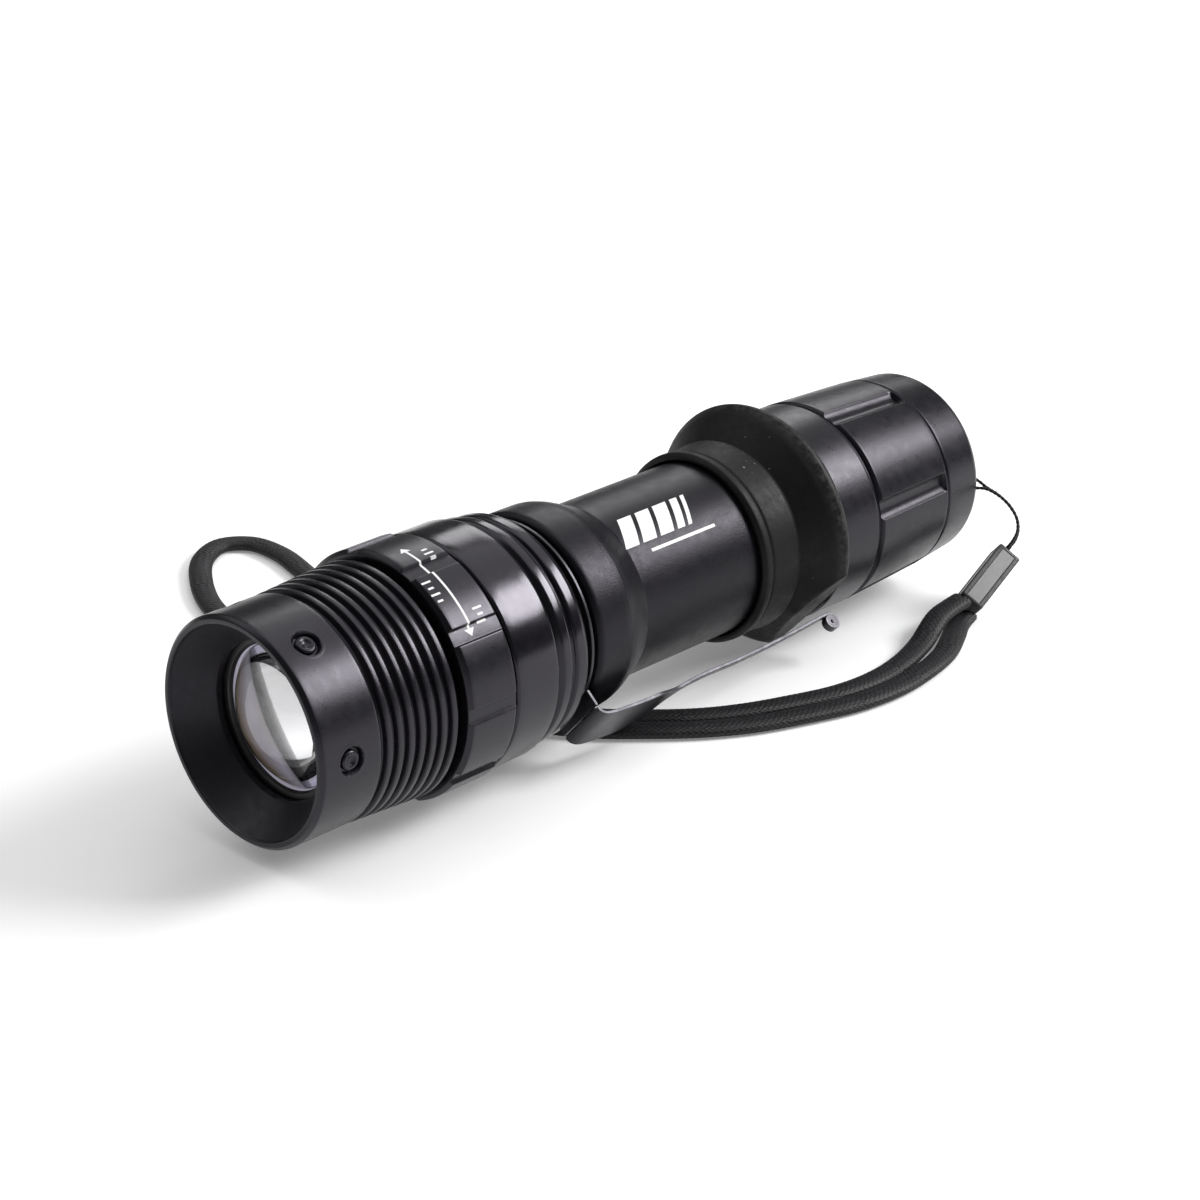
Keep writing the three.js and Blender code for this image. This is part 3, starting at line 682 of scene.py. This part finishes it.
def make_bezel(materials):
    outline = divide(soften(bezel_outline(), 0.14), 0.45)
    # The rows are close together where the pins' recesses are.
    fine_rows = np.arange(PIN_STATION - 2.6, PIN_STATION + 2.6, 0.1)
    front, rear = (next(i for i, (radius, station) in enumerate(outline)
                        if radius > BEZEL_RADIUS - 0.05 and station > row)
                   for row in (fine_rows[0], fine_rows[-1]))
    outline = np.vstack([outline[:front], [[BEZEL_RADIUS, row] for row in fine_rows], outline[rear:]])
    around = angles(1.2, 0.4, PIN_ANGLES, 9.6)
    bezel = turned("bezel_shell", outline, materials["satin"], around, pin_recess)
    bezel.data.materials.append(materials["cone"])
    for face in bezel.data.polygons:
        distance = math.hypot(face.center.x, face.center.z - AXIS_HEIGHT)
        if distance < 14.25 * MM and face.center.y - FRONT < 5.8 * MM:
            face.material_index = 1
    place(bezel, "bezel", "black_anodised", "bezel")
    for i, angle in enumerate(PIN_ANGLES):
        pin = make_pin(f"bezel_staked_pin_{i + 1}", angle, materials["satin"])
        place(pin, "bezel", "black_anodised", f"bezel_pin_{i + 1}")


def make_lens(materials):
    dome = [[12.9 * math.sin(math.radians(a)), 2.9 + 12.9 * (1 - math.cos(math.radians(a)))]
            for a in np.linspace(0, 48.8, 34)]
    outline = [*dome, [12.5, 7.3], [12.5, 8.9], [0, 8.9]]
    lens = turned("lens_asphere", outline, materials["glass"])
    lens.data.materials.append(materials["frosted"])
    for face in lens.data.polygons:
        distance = math.hypot(face.center.x, face.center.z - AXIS_HEIGHT)
        if distance > 10.5 * MM and face.center.y - FRONT < 8.85 * MM:
            face.material_index = 1
    place(lens, "bezel", "lens_glass", "lens")
    gasket = soften([[9.75, 6.75], [10.0, 6.25], [12.5, 6.2], [12.5, 7.0], [9.9, 7.05]], 0.1)
    place(turned("lens_seal", gasket, materials["seal"]), "bezel", "seal_rubber", "lens_gasket")
    retainer = soften([[9.6, 9.2], [12.5, 9.2], [12.5, 11.2], [9.6, 11.2]], 0.1)
    place(turned("lens_threaded_ring", retainer, materials["gloss"]), "bezel", "gloss_anodised",
          "lens_retainer")


def make_light_engine(materials):
    board = soften([[0, 15.4], [8.0, 15.4], [8.0, 16.6], [0, 16.6]], 0.1)
    place(turned("led_board_disc", board, materials["led_board"]), "body", "bare_aluminium", "led_board")
    pill = soften([[0, 16.9], [9.8, 16.9], [9.8, 33.4], [8.9, 33.4], [8.9, 20.0], [0, 20.0]], 0.15)
    place(turned("led_pill_turned", pill, materials["brass"]), "body", "brass", "led_pill")
    for node, key in (("led_emitter", "phosphor"), ("driver_board", "board"), ("driver_spring", "brass"),
                      ("tail_spring", "steel"), ("switch_board", "board"), ("switch_retainer", "brass"),
                      ("switch_body", "switch"), ("switch_plunger", "white"), ("battery_sleeve", "white"),
                      ("battery_cell", "wrap"), ("sleeve_o_ring", "seal"), ("neck_o_ring", "seal"),
                      ("tail_o_ring", "seal")):
        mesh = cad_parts[node].data
        mesh.materials.clear()
        mesh.materials.append(materials[key])


# ---------- zoom ring ----------
def zoom_grooves(radius, station, angle):
    """Ten shallow flat-bottomed grooves along the axis."""
    depth = np.zeros(np.broadcast_shapes(radius.shape, angle.shape))
    for centre in GROOVE_ANGLES:
        across = np.abs(np.radians(turn_between(angle, centre))) * ZOOM_RADIUS
        depth += 0.5 * (1 - smooth_step((across - 0.95) / 0.28))
    return np.where(radius > 15.5, np.minimum(radius, ZOOM_RADIUS - depth), radius)


def on_zoom_ring(angle, station, proud):
    """A point on the ring's grooved surface, standing proud of it, with the angle in degrees."""
    radius = zoom_grooves(np.full(np.shape(angle), ZOOM_RADIUS), station, np.asarray(angle))
    return on_axis(radius + proud, station, angle)


def make_strip(name, lower, upper, on_surface, material):
    """A printed area between two lists of [angle, station] points, as a thin skin on a surface."""
    proud, sunk = 0.02, 0.05
    lower, upper = np.array(lower), np.array(upper)
    sections = [on_surface(edge[:, 0], edge[:, 1], level)
                for edge, level in ((lower, proud), (upper, proud), (upper, -sunk), (lower, -sunk))]
    return swept(name, np.stack(sections, axis=1), material, 40)


def make_zoom_ring(materials):
    outline = soften([[12.9, 23.3], [16.5, 23.3], [ZOOM_RADIUS, 23.8], [ZOOM_RADIUS, 31.2],
                      [16.7, 31.6], [12.9, 31.6]])
    around = angles(1.0, 0.25, GROOVE_ANGLES, 5.0)
    ring = turned("zoom_ring_grooved", divide(outline, 0.5), materials["satin"], around, zoom_grooves)
    place(ring, "zoom_ring", "black_anodised", "zoom_ring")
    # A double-headed arrow that shows which way to turn, with plain ticks beside it.
    start, end, station, half = 5.0, 54.0, 26.7, 0.17
    run = np.arange(start, end + 0.1, 0.25)
    marks = [("arrow_line", [[a, station - half] for a in run], [[a, station + half] for a in run])]
    for side, tip, label in ((1, start - 2.5, "upper"), (-1, end + 2.5, "lower")):
        flare = np.linspace(0.05, 3.4, 14)
        marks.append((f"arrow_head_{label}",
                      [[tip + side * t, station - 0.24 * t] for t in flare],
                      [[tip + side * t, station + 0.24 * t] for t in flare]))
    for i, angle in enumerate((9, 12, 15, 27, 30.5, 34, 37.5, 46, 49, 52)):
        tick = 29.0 if angle < 20 or angle > 40 else 24.6
        length = 1.5 if i % 2 else 0.9
        spread = np.linspace(angle - 0.5, angle + 0.5, 4)
        marks.append((f"tick_{i + 1}", [[a, tick - length / 2] for a in spread],
                      [[a, tick + length / 2] for a in spread]))
    for label, lower, upper in marks:
        mark = make_strip(f"zoom_{label}", lower, upper, on_zoom_ring, materials["print"])
        place(mark, "zoom_ring", "black_anodised")


# ---------- head base and barrel ----------
def make_head_base(materials):
    outline = [[10.2, 12.2], [12.5, 12.2], [12.5, 13.6], [11.2, 13.6], [11.2, 15.2], [12.5, 15.2],
               [12.5, 31.95], [16.4, 31.95], [16.7, 32.3], [16.7, 39.2], [16.4, 39.6], [15.6, 39.85],
               [15.55, 40.3], [16.05, 40.75], [16.2, 41.0], [16.2, 42.2], [16.0, 42.5], [15.35, 42.95],
               [15.4, 43.3], [15.8, 43.55], [15.9, 43.8], [15.9, 45.1], [15.6, 45.7], [14.9, 46.4],
               [13.0, 46.4], [13.0, 44.9], [12.6, 44.9], [12.6, 36.2], [10.2, 36.2]]
    head = turned("head_housing", divide(soften(outline, 0.15), 1.5), materials["gloss"])
    head.data.materials.append(materials["aluminium"])
    for face in head.data.polygons:
        distance = math.hypot(face.center.x, face.center.z - AXIS_HEIGHT)
        if distance < 10.25 * MM:
            face.material_index = 1
    place(head, "body", "gloss_anodised", "head_base")


def make_barrel(materials):
    cone = [[14.7, 55.1], [14.35, 56.3], [13.85, 57.5], [13.25, 58.8], [12.9, 59.6],
            [BARREL_RADIUS, 60.0], [BARREL_RADIUS, 62.0]]
    outline = [[10.6, 36.5], [12.2, 36.5], [12.2, 44.9], [11.6, 44.9], [11.6, 46.3], [12.2, 46.3],
               [12.2, 46.8], [BARREL_RADIUS, 46.8], [BARREL_RADIUS, 48.9], [14.2, 48.9], [14.7, 49.3],
               [14.8, 49.8], [14.8, 54.2], *cone, [BARREL_RADIUS, 97.4], [12.2, 97.4], [12.2, 98.5],
               [11.6, 98.5], [11.6, 99.9], [12.2, 99.9], [12.2, 109.0], [10.6, 109.0]]
    barrel = turned("barrel_tube", divide(soften(outline, 0.2), 2.0), materials["blasted"])
    place(barrel, "body", "black_anodised", "barrel")
    make_badge(materials["print"])


def make_badge(material):
    """A plain printed badge on the barrel: a row of slanted blocks over a thin line."""
    def on_barrel(angle, station, proud):
        return on_axis(BARREL_RADIUS + proud, station, angle)

    top, bottom, lean = 22.0, 43.0, 2.2
    down = np.linspace(top, bottom, 24)
    slant = lean * (down - top) / (bottom - top)
    for i, (start, width) in enumerate(((62.2, 2.6), (65.6, 2.6), (69.0, 2.6), (72.4, 1.4), (74.5, 0.7))):
        mark = make_strip(f"badge_block_{i + 1}", [[a, start - d] for a, d in zip(down, slant)],
                          [[a, start + width - d] for a, d in zip(down, slant)], on_barrel, material)
        place(mark, "body", "black_anodised")
    run = np.linspace(64.0, 76.5, 14)
    mark = make_strip("badge_line", [[48.2, s] for s in run], [[50.2, s] for s in run], on_barrel, material)
    place(mark, "body", "black_anodised")


# ---------- rubber grip ring ----------
def clip_flat(radius, station, angle):
    """The flange is cut flat beside the clip."""
    lean = np.radians(turn_between(angle, CLIP_ANGLE))
    limit = np.where(np.abs(lean) < 1.2, CLIP_FLAT / np.cos(np.clip(lean, -1.2, 1.2)), radius)
    return np.where(station > 86.5, np.minimum(radius, limit), radius)


def make_grip_ring(materials):
    outline = [[13.0, 82.4], [13.5, 82.4], [14.0, 82.9], [14.05, 83.4], [14.0, 84.0], [13.45, 84.4],
               [13.7, 84.8], [14.1, 89.4], [13.65, 90.0], [14.05, 90.4], [16.9, 93.4], [17.55, 94.4],
               [17.9, 95.0], [17.9, 95.5], [17.5, 96.2], [15.6, 96.9], [15.2, 97.0], [13.0, 97.0]]
    ring = turned("grip_ring_rubber", divide(soften(outline, 0.15), 0.6), materials["rubber"],
                  EVERY_DEGREE, clip_flat)
    place(ring, "body", "grip_rubber", "grip_ring")


# ---------- pocket clip ----------
CLIP_THICKNESS = 0.5
CLIP_ROOT_WIDTH = 9.0
CLIP_ARM_WIDTH = 1.2
CLIP_FLAT = 15.0


def clip_line():
    """The arm's centreline as [station, distance from the axis]."""
    run = [(48.0, 16.4, 0), (48.1, 17.0, 0), (48.6, 17.5, 0), (49.5, 17.8, 0), (54.5, 18.2, 0),
           (59.5, 18.25, 0), (64, 17.75, 0), (70, 17.35, 0), (78, 17.45, 0), (87, 17.25, 0),
           (96.2, 16.75, 0)]
    line, _ = smooth_route(run, 0.25)
    turns = np.radians(np.arange(-84, 800, 8))
    shrink = 1.2 - np.linspace(0, 1, len(turns)) ** 0.9 * 0.95
    curl = np.stack([97.4 + shrink * np.cos(turns), 17.95 + shrink * np.sin(turns)], axis=1)
    return np.vstack([line[:, :2], curl])


def clip_half_width(station):
    """Full width at the root, then drawn in to the slender arm."""
    drawn_in = smooth_step((station - 58) / 8)
    return (CLIP_ROOT_WIDTH + (CLIP_ARM_WIDTH - CLIP_ROOT_WIDTH) * drawn_in) / 2


def strip_sections(line, half_widths):
    """Sections of a strip of sheet steel with eased edges, in the plane of the clip."""
    tangent = np.gradient(line, axis=0)
    tangent /= np.linalg.norm(tangent, axis=1, keepdims=True)
    normal = np.stack([-tangent[:, 1], tangent[:, 0]], axis=1)
    turn = math.radians(CLIP_ANGLE)
    outwards = np.array([math.sin(turn), 0, math.cos(turn)])
    across = np.array([math.cos(turn), 0, -math.sin(turn)])
    half, bevel = CLIP_THICKNESS / 2, 0.08
    sections = []
    for (station, distance), (ns, nd), width in zip(line, normal, half_widths):
        corners = []
        for side, edge in ((1, 1), (-1, 1), (-1, -1), (1, -1)):
            cuts = [(0, bevel), (bevel, 0)]
            for cut_w, cut_t in cuts if side == edge else reversed(cuts):
                corners.append((side * (width - cut_w), edge * (half - cut_t)))
        section = []
        for w, t in corners:
            point = (np.array([0, station + ns * t, 0]) + outwards * (distance + nd * t) + across * w) * MM
            section.append(point + np.array([0, FRONT, AXIS_HEIGHT]))
        sections.append(section)
    return np.array(sections)


def make_clip(materials):
    line = clip_line()
    arm = swept("clip_arm_strip", strip_sections(line, clip_half_width(line[:, 0])),
                materials["clip"], 30)
    place(arm, "clip_arm", "black_steel", "clip_arm")
    collar = soften([[13.1, 47.75], [14.3, 47.75], [14.3, 48.25], [13.1, 48.25]], 0.1)
    ring = turned("clip_collar_ring", collar, materials["clip"])
    tab_line = np.array([[48.0, d] for d in np.linspace(13.8, 16.1, 6)])
    tab = swept("clip_collar_tab", strip_sections(tab_line, np.full(6, CLIP_ROOT_WIDTH / 2)),
                materials["clip"], 30)
    for piece in (arm, tab):
        paint_edge_highlights(piece, materials["edge"])
    place(ring, "body", "black_steel", "clip_collar")
    place(tab, "body", "black_steel")


def paint_edge_highlights(piece, material):
    """The strip's narrow side faces are painted paler, as a painted highlight along its edges."""
    piece.data.materials.append(material)
    turn = math.radians(CLIP_ANGLE)
    across = Vector((math.cos(turn), 0, -math.sin(turn)))
    for face in piece.data.polygons:
        if abs(face.normal.dot(across)) > 0.6:
            face.material_index = 1


# ---------- tail cap and switch ----------
def tail_flutes(radius, station, angle):
    """Six round-bottomed flutes that follow the cap's slight taper."""
    flute_radius = 1.9
    centre_height = 16.1 - (station - 114.1) * math.tan(math.radians(2.6))
    cut = radius.copy()
    for flute in FLUTE_ANGLES:
        across = np.abs(np.radians(turn_between(angle, flute))) * 15.0
        bottom = centre_height - np.sqrt(np.clip(flute_radius ** 2 - across ** 2, 0, None))
        inside = (across < flute_radius - 0.02) & (station > 106.35) & (station < 121.7)
        cut = np.where(inside, np.minimum(cut, bottom), cut)
    return np.where(radius > 13.0, cut, radius)


def make_tail_cap(materials):
    outline = [[13.0, 97.7], [15.0, 97.7], [15.3, 98.1], [15.3, 105.3], [15.05, 105.7], [14.7, 105.85],
               [14.7, 106.25], [15.0, 106.4], [15.3, 106.7], [14.62, 121.95], [14.35, 122.15],
               [14.35, 122.35], [14.55, 122.6], [14.0, 129.2], [13.7, 129.85], [13.4, 130.0],
               [11.6, 130.0], [11.4, 129.8], [11.4, 119.4], [8.4, 119.4], [8.4, 117.6], [11.4, 117.6],
               [11.4, 109.6], [12.6, 109.6], [12.6, 100.2], [13.0, 100.2]]
    outline = divide(soften(outline, 0.12), 0.35)
    around = angles(1.0, 0.25, FLUTE_ANGLES, 8.5)
    cap = turned("tail_cap_fluted", outline, materials["tail"], around, tail_flutes)
    cut_lanyard_hole(cap)
    place(cap, "tail", "black_anodised", "tail_cap")
    boot = [[0, 121.8], [6.2, 121.8], [6.2, 116.1], [10.9, 116.1], [10.9, 117.3], [7.9, 117.3],
            [7.9, 123.2], [7.7, 124.0], [7.0, 124.7], [5.2, 125.2], [2.6, 125.43], [0, 125.5]]
    rubber = turned("switch_boot_moulded", divide(soften(boot, 0.2), 0.4), materials["rubber"])
    place(rubber, "button", "grip_rubber", "switch_boot")


def cut_lanyard_hole(cap):
    """A slanted hole from the rear face into the thumb recess."""
    radius, depth = 0.75 * MM, 8 * MM
    tilt = math.radians(26)
    turn = math.radians(LANYARD_ANGLE)
    outwards = Vector((math.sin(turn), 0, math.cos(turn)))
    along = (Vector((0, 1, 0)) * math.cos(tilt) + outwards * math.sin(tilt)).normalized()
    centre = Vector(on_axis(11.85, 128.4, LANYARD_ANGLE).tolist())
    shaped = bmesh.new()
    bmesh.ops.create_cone(shaped, segments=32, radius1=radius, radius2=radius, depth=depth,
                          cap_ends=True)
    mesh = bpy.data.meshes.new("lanyard_hole_tool")
    shaped.to_mesh(mesh)
    shaped.free()
    tool = bpy.data.objects.new("lanyard_hole_tool", mesh)
    bpy.context.scene.collection.objects.link(tool)
    mesh.transform(along.to_track_quat("Z", "Y").to_matrix().to_4x4())
    tool.location = centre
    cut = cap.modifiers.new("lanyard_hole", "BOOLEAN")
    cut.operation = "DIFFERENCE"
    cut.object = tool
    cut.solver = "EXACT"
    bpy.context.view_layer.objects.active = cap
    bpy.ops.object.modifier_apply(modifier=cut.name)
    bpy.data.objects.remove(tool)


# ---------- table and lights ----------
def make_floor():
    shaped = bmesh.new()
    bmesh.ops.create_grid(shaped, x_segments=8, y_segments=8, size=3)
    mesh = bpy.data.meshes.new("floor")
    shaped.to_mesh(mesh)
    shaped.free()
    # The faint glow keeps the table near white where the lights fall off.
    surface = Surface("pale_table", Roughness=0.6, Specular_IOR_Level=0.1, Emission_Strength=0.2)
    surface.shader.inputs["Emission Color"].default_value = (1, 1, 1, 1)
    cloud = surface.noise(0.3, 3)
    surface.colour(surface.mix(cloud, (0.87, 0.87, 0.875), (0.89, 0.89, 0.89)))
    mesh.materials.append(surface.material)
    floor = bpy.data.objects.new("floor", mesh)
    bpy.context.scene.collection.objects.link(floor)


def make_light(name, azimuth, elevation, distance, size, power):
    """A soft rectangular light aimed at the flashlight. The azimuth goes from +Y towards +X."""
    data = bpy.data.lights.new(name, "AREA")
    data.shape = "RECTANGLE"
    data.size, data.size_y = size
    data.energy = power
    turn, rise = math.radians(azimuth), math.radians(elevation)
    away = Vector((math.sin(turn) * math.cos(rise), math.cos(turn) * math.cos(rise), math.sin(rise)))
    light = bpy.data.objects.new(name, data)
    light.location = Vector((0, 0, 0.018)) + away * distance
    light.rotation_mode = "QUATERNION"
    light.rotation_quaternion = (-away).to_track_quat("-Z", "Y")
    bpy.context.scene.collection.objects.link(light)


def make_lighting():
    scene = bpy.context.scene
    scene.view_settings.view_transform = "Standard"
    world = bpy.data.worlds.new("studio")
    scene.world = world
    world.use_nodes = True
    background = world.node_tree.nodes["Background"]
    background.inputs["Color"].default_value = (1, 1, 1, 1)
    background.inputs["Strength"].default_value = 0.1
    make_light("key_softbox", 37, 35, 0.8, (0.38, 0.30), 6.8)
    make_light("rear_softbox", -38, 31, 0.9, (0.3, 0.3), 1.2)
    make_light("overhead_softbox", 15, 76, 1.3, (1.6, 1.6), 9)
    make_light("front_fill", -122, 48, 1.0, (0.7, 0.7), 1.9)


make_camera()
MATERIALS = make_materials()
make_lanyard(MATERIALS)
make_bezel(MATERIALS)
make_lens(MATERIALS)
make_light_engine(MATERIALS)
make_zoom_ring(MATERIALS)
make_head_base(MATERIALS)
make_barrel(MATERIALS)
make_grip_ring(MATERIALS)
make_clip(MATERIALS)
make_tail_cap(MATERIALS)
make_floor()
make_lighting()
